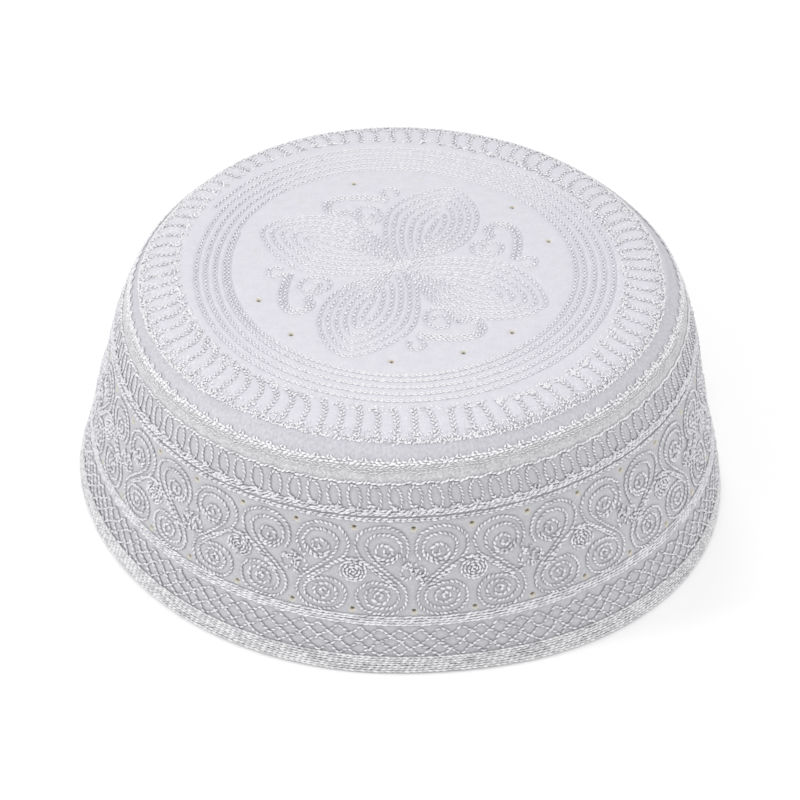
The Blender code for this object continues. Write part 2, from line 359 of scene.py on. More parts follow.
def sewCrownBorder():
    piece = "crown_border_stitches"
    spiral = np.asarray(crownBorder["spiral"], float)[::-1]
    narrow = np.asarray(crownBorder["lastTurn"], float)[::-1]
    for drop in crownBorder["turnDrops"]:
        innermost = drop == crownBorder["turnDrops"][-1]
        angle = np.linspace(spiral[-1, 0], (narrow if innermost else spiral)[0, 0], 721)
        run = np.interp(angle, *spiral.T) - drop
        if innermost:
            run = run + np.interp(angle, *narrow.T)
        run = np.convolve(np.pad(run, 12, mode="reflect", reflect_type="odd"), np.full(25, 0.04), "valid")
        chainStitch("crown_ring_stitches", run, angle, **crownBorder["ringThread"])
    leg = smoothLine(crownBorder["leg"])
    ring = np.radians(np.arange(0, 361, 20))
    firstLoop, lastLoop = crownBorder["loopTops"]
    for number in range(crownBorder["legs"]):
        middle = -90.0 + number * (360.0 / crownBorder["legs"])
        tip, edge, hook = borderPlace(middle)
        run = edge - 1.2 + (tip - edge + 1.2) * leg[:, 0]
        braid(piece, run, middle + leg[:, 1] * (hook + 0.1 * rng.normal()))
        if firstLoop < middle < lastLoop:
            chainStitch(piece, tip + 1.0 + 0.75 * np.sin(ring),
                        middle + 0.75 * np.cos(ring) * degreesPerMm(tip), pitch=1.0, width=0.8, thick=0.25)
    # little knots heap up along the edge, and a few lie along the tips
    count = crownBorder["knots"]
    angle = rng.uniform(-180, 180, count)
    run = borderPlace(angle)[1] - 0.3 - rng.uniform(0.0, 1.0, count) ** 1.6 * 3.4
    looseStitches(piece, run, angle, rng.uniform(0, 180, count), rng.uniform(0.55, 1.0, count), thick=0.21)
    count = crownBorder["tipKnots"]
    angle = rng.uniform(-180, 180, count)
    looseStitches(piece, borderPlace(angle)[0] + rng.uniform(-0.8, 1.4, count), angle,
                  rng.normal(0, 25, count), rng.uniform(1.0, 1.5, count), thick=0.26, lift=0.05)
    # fine stitches inside the tips at the front, and between the legs where the border is busy
    count = crownBorder["fineTips"]
    angle = rng.uniform(-125.0, 5.0, count)
    looseStitches(piece, borderPlace(angle)[0] - rng.uniform(0.2, 2.2, count), angle,
                  rng.normal(-30.0, 12.0, count), rng.uniform(0.8, 1.3, count), thick=0.14, lift=-0.03,
                  arch=0.08)
    for first, last, count in crownBorder["busy"]:
        angle = rng.uniform(first, last, count)
        tip, edge, _ = borderPlace(angle)
        looseStitches(piece, tip + rng.uniform(-0.1, 1.0, count) * (edge - tip), angle,
                      rng.normal(90, 35, count), rng.uniform(0.7, 1.3, count), thick=0.17, lift=0.0,
                      arch=0.12)
    # a ragged last row
    edge = borderPlace(fullRound)[1]
    backStitch(piece, edge - 0.45 + rng.normal(0.0, 0.12, len(fullRound)), fullRound, pitch=1.1, thick=0.22,
               lean=0.3, overlap=0.0, loose=0.3)


# seam: little house-shaped picots over a bound edge, wandering rows, a plain strip and a thin line
seam = {
    "picots": 116, "picotRun": 3.5, "footRun": 9.85,
    # run, wander, thickness and lean of each row; the first two are the white edge
    "rows": ((4.1, 0.1, 0.34, -0.12), (4.72, 0.15, 0.36, 0.1), (5.35, 0.2, 0.2, 0.25),
             (5.95, 0.3, 0.15, -0.2), (6.7, 0.35, 0.13, 0.15)),
}


def sewSeam():
    count = seam["picots"]
    angle = np.arange(count) * 360.0 / count + rng.normal(0, 0.15, count)
    for side in (-1.0, 1.0):
        looseStitches("seam_edge_stitches", np.full(count, seam["picotRun"]), angle + side * 0.35,
                      90.0 - side * 30.0 + rng.normal(0, 8, count), rng.uniform(1.1, 1.45, count),
                      thick=0.27, lift=0.28)
    for number, (row, wander, thick, lean) in enumerate(seam["rows"]):
        path = row + wander * (np.sin(np.radians(fullRound * 37 + row * 50)) * 0.6
                               + np.sin(np.radians(fullRound * 89 + row * 20)) * 0.4)
        backStitch("seam_edge_stitches" if number < 2 else "seam_stitches", path, fullRound,
                   pitch=1.35, thick=thick, lean=lean, lift=0.34, loose=0.15)
    wave = 0.25 * np.sin(np.radians(fullRound * ovals["count"]))
    backStitch("seam_edge_stitches", seam["footRun"] + wave, fullRound, pitch=1.25, thick=0.29, lean=0.25,
               overlap=0.2, loose=0.12, arch=0.25)


# side: ovals over a rope, a frieze of paired scrolls, ropes, a lattice and the hem
ovals = {
    "count": 96, "run": 14.0, "half": (1.62, 3.5), "lean": 0.45, "pitch": 1.05,
    "footStitches": 4, "footRun": 17.0,
    # steps of the outline, thickness, lean and arch of the right half, then of the plumper left one
    "halves": ((0, 20, 0.26, 0.32, 0.22), (21, 41, 0.29, 0.36, 0.26)),
}
ropes = {
    # run of each row, and how far it waves with the ovals
    "scallopRows": ((17.5, 0.5), (18.2, 0.35), (18.8, 0.15)),
    "scallopThread": {"pitch": 1.5, "thick": 0.31, "lean": 0.25, "overlap": 0.3, "arch": 0.28, "loose": 0.15},
    "brightRow": 20.25, "brightHalf": 0.28,  # two rows, this far above and below it
    "brightThread": {"pitch": 1.6, "thick": 0.3, "overlap": 0.15, "arch": 0.3, "loose": 0.08},
    "lowerRows": (50.75, 51.5, 52.25, 52.95), "wander": 0.25,
    "lowerThread": {"pitch": 1.6, "thick": 0.3, "lean": 0.2, "overlap": 0.5, "arch": 0.25, "loose": 0.08},
}
# one scroll, charted in mm across from its middle and down from the crown's edge
frieze = {
    "columns": 34, "firstEyelet": -86.73, "aside": -0.4, "rosetteRun": 36.7,
    "main": (
        (-0.8, 44.9), (0.1, 45.0), (0.3, 44.0), (-0.6, 43.2), (-1.8, 43.8), (-2.2, 45.2), (-1.4, 46.4),
        (0.2, 46.7), (1.5, 45.8), (2.0, 44.0), (1.1, 42.5), (-0.8, 41.8), (-2.9, 42.2), (-4.1, 43.6),
        (-4.1, 45.5), (-3.2, 47.3), (-1.2, 48.2), (1.4, 48.1), (3.5, 47.0), (4.5, 45.0), (4.2, 43.0),
        (2.6, 41.3), (0.1, 40.3), (-2.4, 40.1), (-4.6, 40.9), (-6.0, 42.5), (-6.5, 44.7), (-6.1, 47.0),
        (-4.7, 48.9), (-2.3, 49.8), (0.4, 50.0), (3.0, 49.7), (5.1, 48.5), (6.2, 46.5), (6.4, 44.0),
        (5.6, 41.5), (3.8, 39.2), (1.7, 37.2), (-0.5, 35.0), (-2.6, 32.5), (-3.8, 30.0), (-3.9, 27.5),
        (-2.6, 25.6), (-0.2, 24.7), (2.4, 24.9), (4.3, 26.6), (5.0, 29.0), (4.4, 31.5), (2.7, 33.2),
        (0.6, 33.8), (-1.2, 32.5), (-1.7, 30.2), (-0.8, 28.4), (1.0, 27.8), (2.4, 28.8), (2.7, 30.3),
        (1.9, 31.4), (0.6, 31.1), (0.2, 30.0), (1.0, 29.5)),
    "bundle": ((-8.8, 32.9), (-7.2, 32.9), (-5.3, 33.4), (-3.2, 34.4), (-1.2, 36.2), (0.7, 37.9), (2.4, 39.4),
               (3.6, 41.0)),
    "under": ((-1.4, 31.6), (-0.3, 32.5), (1.6, 32.7), (3.2, 31.9), (4.0, 30.6)),
    "beside": (
        (3.2, 41.9), (2.4, 40.4), (0.8, 39.0), (-1.3, 37.0), (-3.4, 34.8), (-5.4, 32.4), (-6.5, 30.0),
        (-6.7, 27.5), (-5.8, 25.0), (-3.9, 23.4), (-1.3, 22.5), (1.6, 22.5), (4.0, 23.6), (5.8, 25.6),
        (6.6, 28.5), (6.4, 31.0), (5.4, 32.8)),
}
rosettes = {
    # radius, stitches, swirl in degrees and stitch length of each ring
    "knotRings": ((3.2, 15, 12.0, 1.75), (2.35, 11, -10.0, 1.7), (1.5, 7, 14.0, 1.6), (0.6, 4, 25.0, 1.3)),
    "looseKnots": 22,
}
lattice = {"peaks": 105, "run": (54.3, 63.2)}
hem = {"rows": (63.68, 64.42, 65.17, 65.93, 66.7, 67.45, 68.2), "lift": 0.2}


def sewOvals():
    piece, each = "oval_stitches", 360.0 / ovals["count"]
    wide, tall = ovals["half"]
    turn = np.radians(np.linspace(0, 360, 41))
    for number in range(ovals["count"]):
        lean = ovals["lean"] * (1.0 + 0.3 * rng.normal())
        run = ovals["run"] - tall * np.cos(turn)
        across = wide * np.sin(turn) + lean * (run - ovals["run"]) / tall
        angle = number * each + np.degrees(across / radiusAt(run))
        for first, last, thick, aside, arch in ovals["halves"]:
            backStitch(piece, run[first:last], angle[first:last], pitch=ovals["pitch"], thick=thick,
                       lean=aside, arch=arch)
    count = ovals["count"] * ovals["footStitches"]
    angle = np.repeat(np.arange(ovals["count"]) * each, ovals["footStitches"]) + rng.normal(0, 0.6, count)
    looseStitches(piece, ovals["footRun"] + rng.normal(0, 0.35, count), angle,
                  rng.normal(0.0, 35.0, count), rng.uniform(1.1, 1.6, count), thick=0.31, lift=0.15, arch=0.3)


def sewRopes():
    fine = np.linspace(-180.0, 180.0, 1921)
    scallop = np.abs(np.sin(np.radians(fine * ovals["count"] / 2.0))) - 0.5
    drift = ropes["wander"] * np.sin(np.radians(fine * 3.0 + 20.0))
    bright = ropes["brightRow"]
    rows = [(row + wave * scallop, ropes["scallopThread"]) for row, wave in ropes["scallopRows"]]
    rows += [(bright + side * ropes["brightHalf"] + 0 * fine, dict(ropes["brightThread"], lean=-side * 0.15))
             for side in (-1, 1)]
    rows += [(row + drift, ropes["lowerThread"]) for row in ropes["lowerRows"]]
    for run, thread in rows:
        backStitch("rope_stitches", run, fine, **thread)


def sewScrolls():
    pitch = 360.0 / frieze["columns"]
    main = smoothLine(frieze["main"], fine=6)
    lines = [(main[:85], 1.5, 0.36), (main[84:-85], 1.2, 0.32), (main[-86:], 1.4, 0.36)]
    lines += [(smoothLine(frieze[part], fine=6), step, thick) for part, step, thick in
              (("beside", 1.2, 0.32), ("bundle", 1.5, 0.37), ("under", 1.4, 0.37))]
    for column in range(frieze["columns"]):
        middle = frieze["firstEyelet"] + (column + 0.5) * pitch
        hand = -1.0 if column % 2 == 0 else 1.0
        for line, step, thick in lines:
            across = hand * line[:, 0] + frieze["aside"]
            angle = middle + np.degrees(across / radiusAt(line[:, 1]))
            backStitch("scroll_stitches", line[:, 1], angle, pitch=step, thick=thick, lean=0.34 * hand,
                       overlap=0.1, loose=0.12, arch=0.28)


def sewRosettes():
    piece, run = "rosette_stitches", frieze["rosetteRun"]
    perMm = degreesPerMm(run)
    for column in range(frieze["columns"]):
        angle = frieze["firstEyelet"] + column * 360.0 / frieze["columns"]
        if column % 2:
            # a full round knot of crossing stitches
            for radius, count, swirl, length in rosettes["knotRings"]:
                turn = np.arange(count) * 2 * np.pi / count + rng.normal(0, 0.1, count)
                looseStitches(piece, run + radius * 0.95 * np.sin(turn),
                              angle + radius * 1.05 * np.cos(turn) * perMm,
                              np.degrees(turn) + 90.0 + swirl, length + rng.normal(0, 0.12, count),
                              thick=0.33, lift=0.45 - radius * 0.1, arch=0.35)
            continue
        # a looser one, two little leaves side by side with knots over them
        turn = np.arange(8) * 2 * np.pi / 8
        for side in (-1.0, 1.0):
            looseStitches(piece, run + 0.2 + 1.9 * np.sin(turn),
                          angle + (side * 1.9 + 1.5 * np.cos(turn)) * perMm,
                          np.degrees(turn) + 90.0 + side * 30.0, np.full(8, 1.5), thick=0.32, lift=0.15,
                          arch=0.3)
        count = rosettes["looseKnots"]
        looseStitches(piece, run + rng.uniform(-3.4, 3.2, count),
                      angle + rng.uniform(-2.9, 2.9, count) * perMm, rng.uniform(0, 180, count),
                      rng.uniform(1.0, 1.6, count), thick=0.32, lift=0.3, arch=0.35)


def sewLattice():
    low, high = lattice["run"]
    step = 360.0 / lattice["peaks"]
    across = np.linspace(0.0, 1.0, 17)
    for number in range(lattice["peaks"]):
        for hand in (-1.0, 1.0):
            sway = 0.2 * np.sin(across * 9.0 + number * 2.3) + rng.normal(0.0, 0.18)
            angle = number * step + hand * 2.0 * step * across + sway
            backStitch("lattice_stitches", low + (high - low) * across, angle, pitch=1.35, thick=0.28,
                       lean=0.2 * hand, lift=0.08 + 0.06 * hand, arch=0.28, loose=0.18)


def sewHem():
    for number, row in enumerate(hem["rows"]):
        drift = 0.08 * np.sin(np.radians(fullRound * (5 + number) + number * 70))
        backStitch("hem_stitches", row + drift, fullRound, pitch=1.6, thick=0.33, overlap=0.5,
                   lean=0.18 if number % 3 else -0.18, arch=0.22, lift=hem["lift"])


# eyelets: small holes with a worked rim, twelve on the crown and two rows round the side
eyelets = {
    "crownRadius": 41.4,
    "crownOpen": (110.6, 202.7, 226.9, 267.4, 294.0, 315.6, 16.8, 43.0),
    "crownShut": (84.8, 134.8, 171.1, 354.6),
    "sideRuns": (23.0, 49.1), "mouthRadius": 0.8, "ringRadius": 0.94,
    # the side's holes sit a little high in their mouths
    "crownHole": (0.44, 0.0), "sideHole": (0.58, 0.2),
}


def eyeletSpots():
    crownRun = float(crownSpot(eyelets["crownRadius"], 0.0)[0])
    spots = [("crown", crownRun, angle) for angle in eyelets["crownOpen"]]
    for run in eyelets["sideRuns"]:
        for column in range(frieze["columns"]):
            spots.append(("side", run, frieze["firstEyelet"] + column * 360.0 / frieze["columns"]))
    return spots


def sewEyelets():
    def sewRound(run, angle, radius, turn, length, **thread):
        looseStitches("eyelet_stitches", run + radius * np.sin(turn),
                      angle + radius * np.cos(turn) * degreesPerMm(run), np.degrees(turn) + 90.0,
                      np.full(len(turn), length), **thread)

    turn = np.arange(9) * 2 * np.pi / 9
    spots = eyeletSpots()
    for _, run, angle in spots:
        sewRound(run, angle, eyelets["ringRadius"], turn, 0.75, thick=0.13, lift=-0.04, arch=0.04)
    for angle in eyelets["crownShut"]:
        sewRound(spots[0][1], angle, 0.45, turn[::2], 0.8, thick=0.2, lift=0.0, arch=0.1)


# inside: the plain reverse of the same lines, flat dashes over every few stitches
reverse = {"every": 3, "thick": 0.17, "backs": ((4.43, 1.5), (10.05, 2.0), (63.7, 1.8), (99.0, 2.4))}


def sewReverse():
    ends, depths = np.array(reverse["backs"]).T
    for run, angle in reverseLines:
        run, angle = run[::reverse["every"]], angle[::reverse["every"]]
        if len(run) < 2:
            continue
        back = -depths[np.searchsorted(ends, run)] - 0.02
        points, normal = onCap(run, angle, back), -outOf(run, angle)
        gap = (points[1:] - points[:-1]) * 0.12
        layStrands("reverse_stitches", points[:-1] + gap, points[1:] - gap, normal[:-1], 0.0,
                   reverse["thick"], reverse["thick"], 0.05)


for sew in (sewFlower, sewCrownBorder, sewSeam, sewOvals, sewRopes, sewScrolls, sewRosettes, sewLattice,
            sewHem, sewEyelets, sewReverse):
    sew()
print("stitches charted:", sum(len(s[0]) for sets in threadStrands.values() for s in sets))


# finishes
unchanged = (1.0, 1.0, 1.0)
sheen = 0.1                                  # of every thread, and of a cloth that says no other
threadFinishes = {
    # shadow is what the colour is multiplied by deep between the stitches
    "crownThread": {"colour": (0.95, 0.95, 0.96), "dull": (0.68, 0.67, 0.735),
                    "shadow": (0.54, 0.53, 0.575), "roughness": 0.3},
    "edgeThread": {"colour": (0.95, 0.95, 0.965), "dull": (0.75, 0.75, 0.77),
                   "shadow": (0.60, 0.60, 0.62), "roughness": 0.3},
    "bandThread": {"colour": (0.87, 0.87, 0.89), "dull": (0.62, 0.62, 0.65),
                   "shadow": (0.44, 0.44, 0.47), "roughness": 0.24},
    "hemThread": {"colour": (0.87, 0.87, 0.875), "dull": (0.60, 0.60, 0.62),
                  "shadow": (0.20, 0.20, 0.22), "roughness": 0.26},
    "seamThread": {"colour": (0.86, 0.86, 0.865), "dull": (0.73, 0.73, 0.735),
                   "shadow": (0.66, 0.66, 0.67), "roughness": 0.4},
    "eyeletThread": {"colour": (0.78, 0.76, 0.68), "dull": (0.66, 0.64, 0.56),
                     "shadow": (0.80, 0.79, 0.76), "roughness": 0.5},
}
clothFinishes = {
    # the stitch shadow is a painted shade: what the colour is multiplied by close beside a stitch
    # grain is what it is multiplied by in the darkest specks of the cloth
    # the crown's strip colour is a painted shade for the strip that turns down past its edge
    "crownCloth": {"colour": (0.732, 0.724, 0.772), "deep": (0.678, 0.67, 0.718), "roughness": 0.5,
                   "stitchShadow": (0.79, 0.78, 0.825), "grain": (0.93, 0.93, 0.94), "strip": (0.64, 0.645, 0.64)},
    "sideCloth": {"colour": (0.56, 0.56, 0.58), "deep": (0.50, 0.50, 0.525), "roughness": 0.5,
                  "stitchShadow": (0.60, 0.60, 0.62), "grain": (0.86, 0.86, 0.87)},
    "seamCloth": {"colour": (0.74, 0.74, 0.755), "deep": (0.57, 0.57, 0.58), "roughness": 0.65, "sheen": 0.2,
                  "stitchShadow": (0.78, 0.78, 0.78), "grain": (0.66, 0.66, 0.67)},
    "innerCloth": {"colour": (0.66, 0.655, 0.645), "deep": (0.56, 0.555, 0.54), "roughness": 0.7,
                   "sheen": 0.2, "stitchShadow": (0.8, 0.8, 0.8), "grain": (0.9, 0.9, 0.9)},
    # an eyelet's cloth: its painted shade goes nearly black, for the dark deep in the throat
    "eyeletCloth": {"colour": (0.82, 0.78, 0.68), "deep": (0.76, 0.72, 0.62), "roughness": 0.6,
                    "stitchShadow": (0.10, 0.095, 0.08), "grain": (0.9, 0.9, 0.9)},
}
stitchShadowReach = 0.0009                         # how far the painted shade reaches from a stitch over the cloth
stripStart = {"From Min": 70.4, "From Max": 71.8}    # mm from the crown's middle to its strip past the edge


def newMaterial(name):
    material = bpy.data.materials.new(name)
    material.use_nodes = True
    return material, material.node_tree, material.node_tree.nodes["Principled BSDF"]


def addNode(tree, kind, settings=None, feeds=None, operation=None):
    # one shader node: its plain settings, and what feeds its other sockets
    node = tree.nodes.new("ShaderNode" + kind)
    if operation:
        node.operation = operation
    for socket, value in (settings or {}).items():
        node.inputs[socket].default_value = value
    for socket, source in (feeds or {}).items():
        tree.links.new(source, node.inputs[socket])
    return node


def addRamp(tree, amount, atFirst, atLast, ends=(0.0, 1.0)):
    # a colour that runs from atFirst to atLast as the amount runs from one end to the other
    ramp = addNode(tree, "ValToRGB", feeds={"Fac": amount})
    for element, colour, end in zip(ramp.color_ramp.elements, (atFirst, atLast), ends):
        element.color, element.position = (*colour, 1.0), end
    return ramp.outputs["Color"]


def darken(tree, colour, amount, atZero, atOne):
    # multiplies a colour by one that runs from atZero to atOne
    factor = addRamp(tree, amount, atZero, atOne)
    return addNode(tree, "VectorMath", feeds={0: colour, 1: factor}, operation="MULTIPLY").outputs["Vector"]


def dressShader(tree, shader, finish, colour, bump):
    shader.inputs["Roughness"].default_value = finish["roughness"]
    shader.inputs["Sheen Weight"].default_value = finish.get("sheen", sheen)
    tree.links.new(colour, shader.inputs["Base Color"])
    tree.links.new(bump.outputs["Normal"], shader.inputs["Normal"])


def threadMaterial(name, finish):
    material, tree, shader = newMaterial(name)
    shade, paintedShade = addNode(tree, "Attribute"), addNode(tree, "Attribute")
    shade.attribute_name, paintedShade.attribute_name = "threadToneAndHighlight", "threadPaintedShade"
    # the strand's tone from dull to bright, with the painted highlight at the bright end
    colour = addRamp(tree, shade.outputs["Fac"], finish["dull"], finish["colour"], (0.0, 0.6))
    # painted shade: the strand's colour darkens towards its ends and sides
    colour = darken(tree, colour, paintedShade.outputs["Fac"], unchanged, finish["shadow"])
    place = addNode(tree, "TexCoord").outputs["Object"]
    fibre = addNode(tree, "TexNoise", {"Scale": 5200.0, "Detail": 2.0}, {"Vector": place})
    bump = addNode(tree, "Bump", {"Strength": 0.25, "Distance": 0.00006}, {"Height": fibre.outputs["Fac"]})
    dressShader(tree, shader, finish, colour, bump)
    shader.inputs["Specular IOR Level"].default_value = 0.6
    return material


def clothMaterial(name, finish):
    material, tree, shader = newMaterial(name)
    runMap = addNode(tree, "UVMap")
    runMap.uv_map = "clothRun"
    run = runMap.outputs["UV"]
    waves = []
    for direction in "XY":
        wave = addNode(tree, "TexWave", {"Scale": 0.9, "Distortion": 1.2, "Detail": 1.0}, {"Vector": run})
        wave.bands_direction = direction
        waves.append(wave.outputs["Fac"])
    weave = addNode(tree, "Math", feeds=dict(enumerate(waves)), operation="MULTIPLY")
    mottle = addNode(tree, "TexNoise", {"Scale": 0.35, "Detail": 5.0, "Roughness": 0.65}, {"Vector": run})
    colour = addRamp(tree, mottle.outputs["Fac"], finish["deep"], finish["colour"], (0.3, 0.65))
    specks = addNode(tree, "TexNoise", {"Scale": 1.5, "Detail": 3.0}, {"Vector": run}).outputs["Fac"]
    specks = addNode(tree, "MapRange", {"From Min": 0.33, "From Max": 0.67}, {"Value": specks}).outputs[0]
    colour = darken(tree, colour, specks, finish["grain"], unchanged)
    # painted shade: an occlusion test darkens the cloth close beside the stitches
    stitchShadow = addNode(tree, "AmbientOcclusion", {"Distance": stitchShadowReach})
    stitchShadow.samples = 6
    openness = stitchShadow.outputs["AO"]
    if "strip" in finish:
        # past the knotted edge the cloth turns down; painted shade, broken by the specks, makes that strip
        # darker and less lilac the picots lie loose on that strip, and no shade is painted beside them there
        away = addNode(tree, "VectorMath", feeds={0: run}, operation="LENGTH").outputs["Value"]
        past = addNode(tree, "MapRange", stripStart, {"Value": away}).outputs["Result"]
        stripShade = addNode(tree, "MapRange", {"To Min": 0.2, "To Max": 0.85}, {"Value": specks}).outputs["Result"]
        stripShade = addNode(tree, "Math", feeds={0: past, 1: stripShade}, operation="MULTIPLY").outputs[0]
        colour = darken(tree, colour, stripShade, unchanged, finish["strip"])
        openness = addNode(tree, "Math", feeds={0: openness, 1: past}, operation="MAXIMUM").outputs[0]
    colour = darken(tree, colour, openness, finish["stitchShadow"], unchanged)
    bump = addNode(tree, "Bump", {"Strength": 0.4, "Distance": 0.0002}, {"Height": mottle.outputs["Fac"]})
    bump = addNode(tree, "Bump", {"Strength": 0.35, "Distance": 0.00005},
                   {"Height": weave.outputs[0], "Normal": bump.outputs["Normal"]})
    dressShader(tree, shader, finish, colour, bump)
    return material


materials = {name: clothMaterial(name, finish) for name, finish in clothFinishes.items()}
materials.update((name, threadMaterial(name, finish)) for name, finish in threadFinishes.items())


def addObject(name, data):
    thing = bpy.data.objects.new(name, data)
    bpy.context.scene.collection.objects.link(thing)
    return thing


def newPiece(name, vertices, faces, *finishes):
    # vertices in mm; faces is a list of arrays, each of polygons with one corner count
    mesh = bpy.data.meshes.new(name)
    loops = np.concatenate([f.reshape(-1) for f in faces])
    sizes = np.concatenate([np.full(len(f), f.shape[1]) for f in faces])
    mesh.vertices.add(len(vertices))
    mesh.vertices.foreach_set("co", (vertices * mm).astype(np.float32).reshape(-1))
    mesh.loops.add(len(loops))
    mesh.loops.foreach_set("vertex_index", loops.astype(np.int32))
    mesh.polygons.add(len(sizes))
    mesh.polygons.foreach_set("loop_start", np.r_[0, np.cumsum(sizes)[:-1]].astype(np.int32))
    mesh.polygons.foreach_set("loop_total", sizes.astype(np.int32))
    mesh.polygons.foreach_set("use_smooth", np.ones(len(sizes), bool))
    mesh.update(calc_edges=True)
    mesh.validate()
    for finish in finishes:
        mesh.materials.append(finish)
    return addObject(name, mesh)


needleDepth = 0.12                           # mm that the needle pulls the cloth and the thread's ends down
strandSink = 0.05                            # mm of a strand's underside that lie in the cloth
# a strand as five stations along it, the middle three with four points over a half round
strandRings = ((0.16, 0.72), (0.5, 1.0), (0.84, 0.72))       # share of its length, and of its thickness
strandFan = np.radians((-12.0, 50.0, 130.0, 192.0))
strandPlump = 1.3                            # how much taller than a half round it stands
# painted shade of each point, following how deep in the cloth it lies, 1 at the ends
strandPaintedShade = (1.0, 0.75, 0.3, 0.3, 0.75, 0.6, 0.0, 0.0, 0.6, 0.75, 0.3, 0.3, 0.75, 1.0)


def buildThread(name, material):
    start, end, normal, bow, halfWidth, height, arch, bright = (
        np.concatenate(parts) for parts in zip(*threadStrands[name]))
    along = end - start
    side = np.cross(normal, along)
    side /= np.linalg.norm(side, axis=1, keepdims=True) + 1e-9
    count = len(start)
    points = np.zeros((count, 14, 3))
    points[:, 0], points[:, 13] = start - normal * needleDepth, end - normal * needleDepth
    for ring, (t, share) in enumerate(strandRings):
        hump = 4.0 * t * (1.0 - t)
        base = start + along * t + side * (bow * hump)[:, None] + normal * (arch * hump - strandSink)[:, None]
        for k, turn in enumerate(strandFan):
            aside = halfWidth * share * math.cos(turn)
            above = height * share * math.sin(turn) * strandPlump
            points[:, 1 + ring * 4 + k] = base + side * aside[:, None] + normal * above[:, None]
    tri, quad = [], []
    for k in range(3):
        tri += [(0, 1 + k, 2 + k), (13, 10 + k, 9 + k)]
        quad += [(a, a + 4, a + 5, a + 1) for a in (1 + k, 5 + k)]
    offset = (np.arange(count) * 14)[:, None, None]
    faces = [(np.asarray(corners)[None] + offset).reshape(-1, len(corners[0])) for corners in (tri, quad)]
    points[..., 2] = np.maximum(points[..., 2], 0.02)       # no thread reaches into the floor
    piece = newPiece(name, points.reshape(-1, 3), faces, material)
    # the painted shade of every point
    paintedShade = np.tile(strandPaintedShade, count)
    # each strand's tone with its painted highlight, and the painted shade, go to the material
    for label, values in (("threadToneAndHighlight", np.repeat(bright, 14)), ("threadPaintedShade", paintedShade)):
        measure = piece.data.attributes.new(label, "FLOAT", "POINT")
        measure.data.foreach_set("value", values.astype(np.float32))
    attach(piece, "root")
    print(name, "strands", count, "triangles", count * 18)


threadPieces = {
    # the node they are sewn to, and their thread
    ("crown_panel", "crownThread"): ("flower_stitches", "crown_ring_stitches"),
    ("crown_panel", "edgeThread"): ("crown_border_stitches",),
    ("seam_binding", "seamThread"): ("seam_stitches",),
    ("seam_binding", "edgeThread"): ("seam_edge_stitches",),
    ("side_band", "bandThread"): ("oval_stitches", "rope_stitches", "scroll_stitches", "rosette_stitches",
                                  "lattice_stitches"),
    ("hem_band", "hemThread"): ("hem_stitches",),
    ("side_band", "eyeletThread"): ("eyelet_stitches",),
    ("side_band", "seamThread"): ("reverse_stitches",),
}
for (nodeName, finishName), pieceNames in threadPieces.items():
    for pieceName in pieceNames:
        buildThread(pieceName, materials[finishName])


# cloth: each sewn piece is a thin shell that puffs up between the lines of stitching
needlePoints = np.vstack(needleLines)
needleTree = KDTree(len(needlePoints))
for index, point in enumerate(needlePoints):
    needleTree.insert(point, index)
needleTree.balance()

clothPieces = {
    "crown_cloth": {"node": "crown_panel", "runs": (middleRun + 0.02, 4.45), "around": 360, "step": 0.75,
                    "thick": 1.5, "puff": 0.28, "outside": "crownCloth"},
    "seam_cloth": {"node": "seam_binding", "runs": (4.4, 10.0), "around": 480, "step": 0.45,
                   "thick": 2.0, "puff": 0.1, "outside": "seamCloth"},
    "side_cloth": {"node": "side_band", "runs": (10.1, 63.6), "around": 720, "step": 0.75,
                   "thick": 1.8, "puff": 0.32, "outside": "sideCloth"},
    "hem_cloth": {"node": "hem_band", "runs": (63.8, rimRun), "around": 480, "step": 0.6,
                  "thick": 2.4, "puff": 0.1, "outside": "sideCloth"},
}


puffReach = 1.1                              # mm from a stitch to where the cloth puffs up
backMargin = 1.2                             # mm of flat cloth round an eyelet on the inside
backClear = 1.3                              # how many margins the next row or column keeps off
mapRadius = 84.0                             # mm, a middle radius that the wall's cloth is mapped round
throatDepth = 0.4                            # mm from an eyelet's mouth to its narrow part
ringSteps = ((-1, -1), (-1, 0), (-1, 1), (0, 1), (1, 1), (1, 0), (1, -1), (0, -1))    # round an eyelet
ringTurns = [math.atan2(down, aside) for down, aside in ringSteps]
ringDown, ringAside = (np.array([way(turn) for turn in ringTurns]) for way in (math.sin, math.cos))


def seamBulge(run):
    # the stitched edge of the binding stands out, and the plain strip is softly padded
    return 0.4 * np.exp(-((run - 5.3) / 1.4) ** 4) + 0.2 * np.exp(-((run - 8.5) / 1.0) ** 2)


def edgeRise(run):
    # the crown's cloth comes up a little to meet that edge
    return 0.4 * np.exp(-((run - 4.6) / 1.1) ** 2)


def spreadAround(count, spots, margin):
    # even places round the cap, with a clear pair either side of each eyelet
    even = np.arange(count) * 360.0 / count
    for spot in spots:
        even = even[np.abs((even - spot + 180.0) % 360.0 - 180.0) > margin * backClear]
    pairs = [(spot + side * margin) % 360.0 for spot in spots for side in (-1.0, 1.0)]
    return np.unique(np.round(np.r_[even, pairs], 6))


def clothLift(name, runs, angles):
    # how far the cloth stands up from the charted surface
    flat = onCap(runs, angles).reshape(-1, 3)
    away = np.array([needleTree.find(p)[2] for p in flat]).reshape(runs.shape)
    lift = clothPieces[name]["puff"] * (1.0 - np.exp(-(away / puffReach) ** 2)) - needleDepth
    if name == "crown_cloth":
        lift = lift + edgeRise(runs)
    if name == "seam_cloth":
        lift = lift + seamBulge(runs)
        lift += 0.07 * np.sin(np.radians(angles * 53) + runs) * np.exp(-((runs - 8.6) / 1.2) ** 2)
    return lift


def gridQuads(grid):
    across = np.roll(grid, -1, 1)
    return np.stack([grid[:-1], grid[1:], across[1:], across[:-1]], -1)


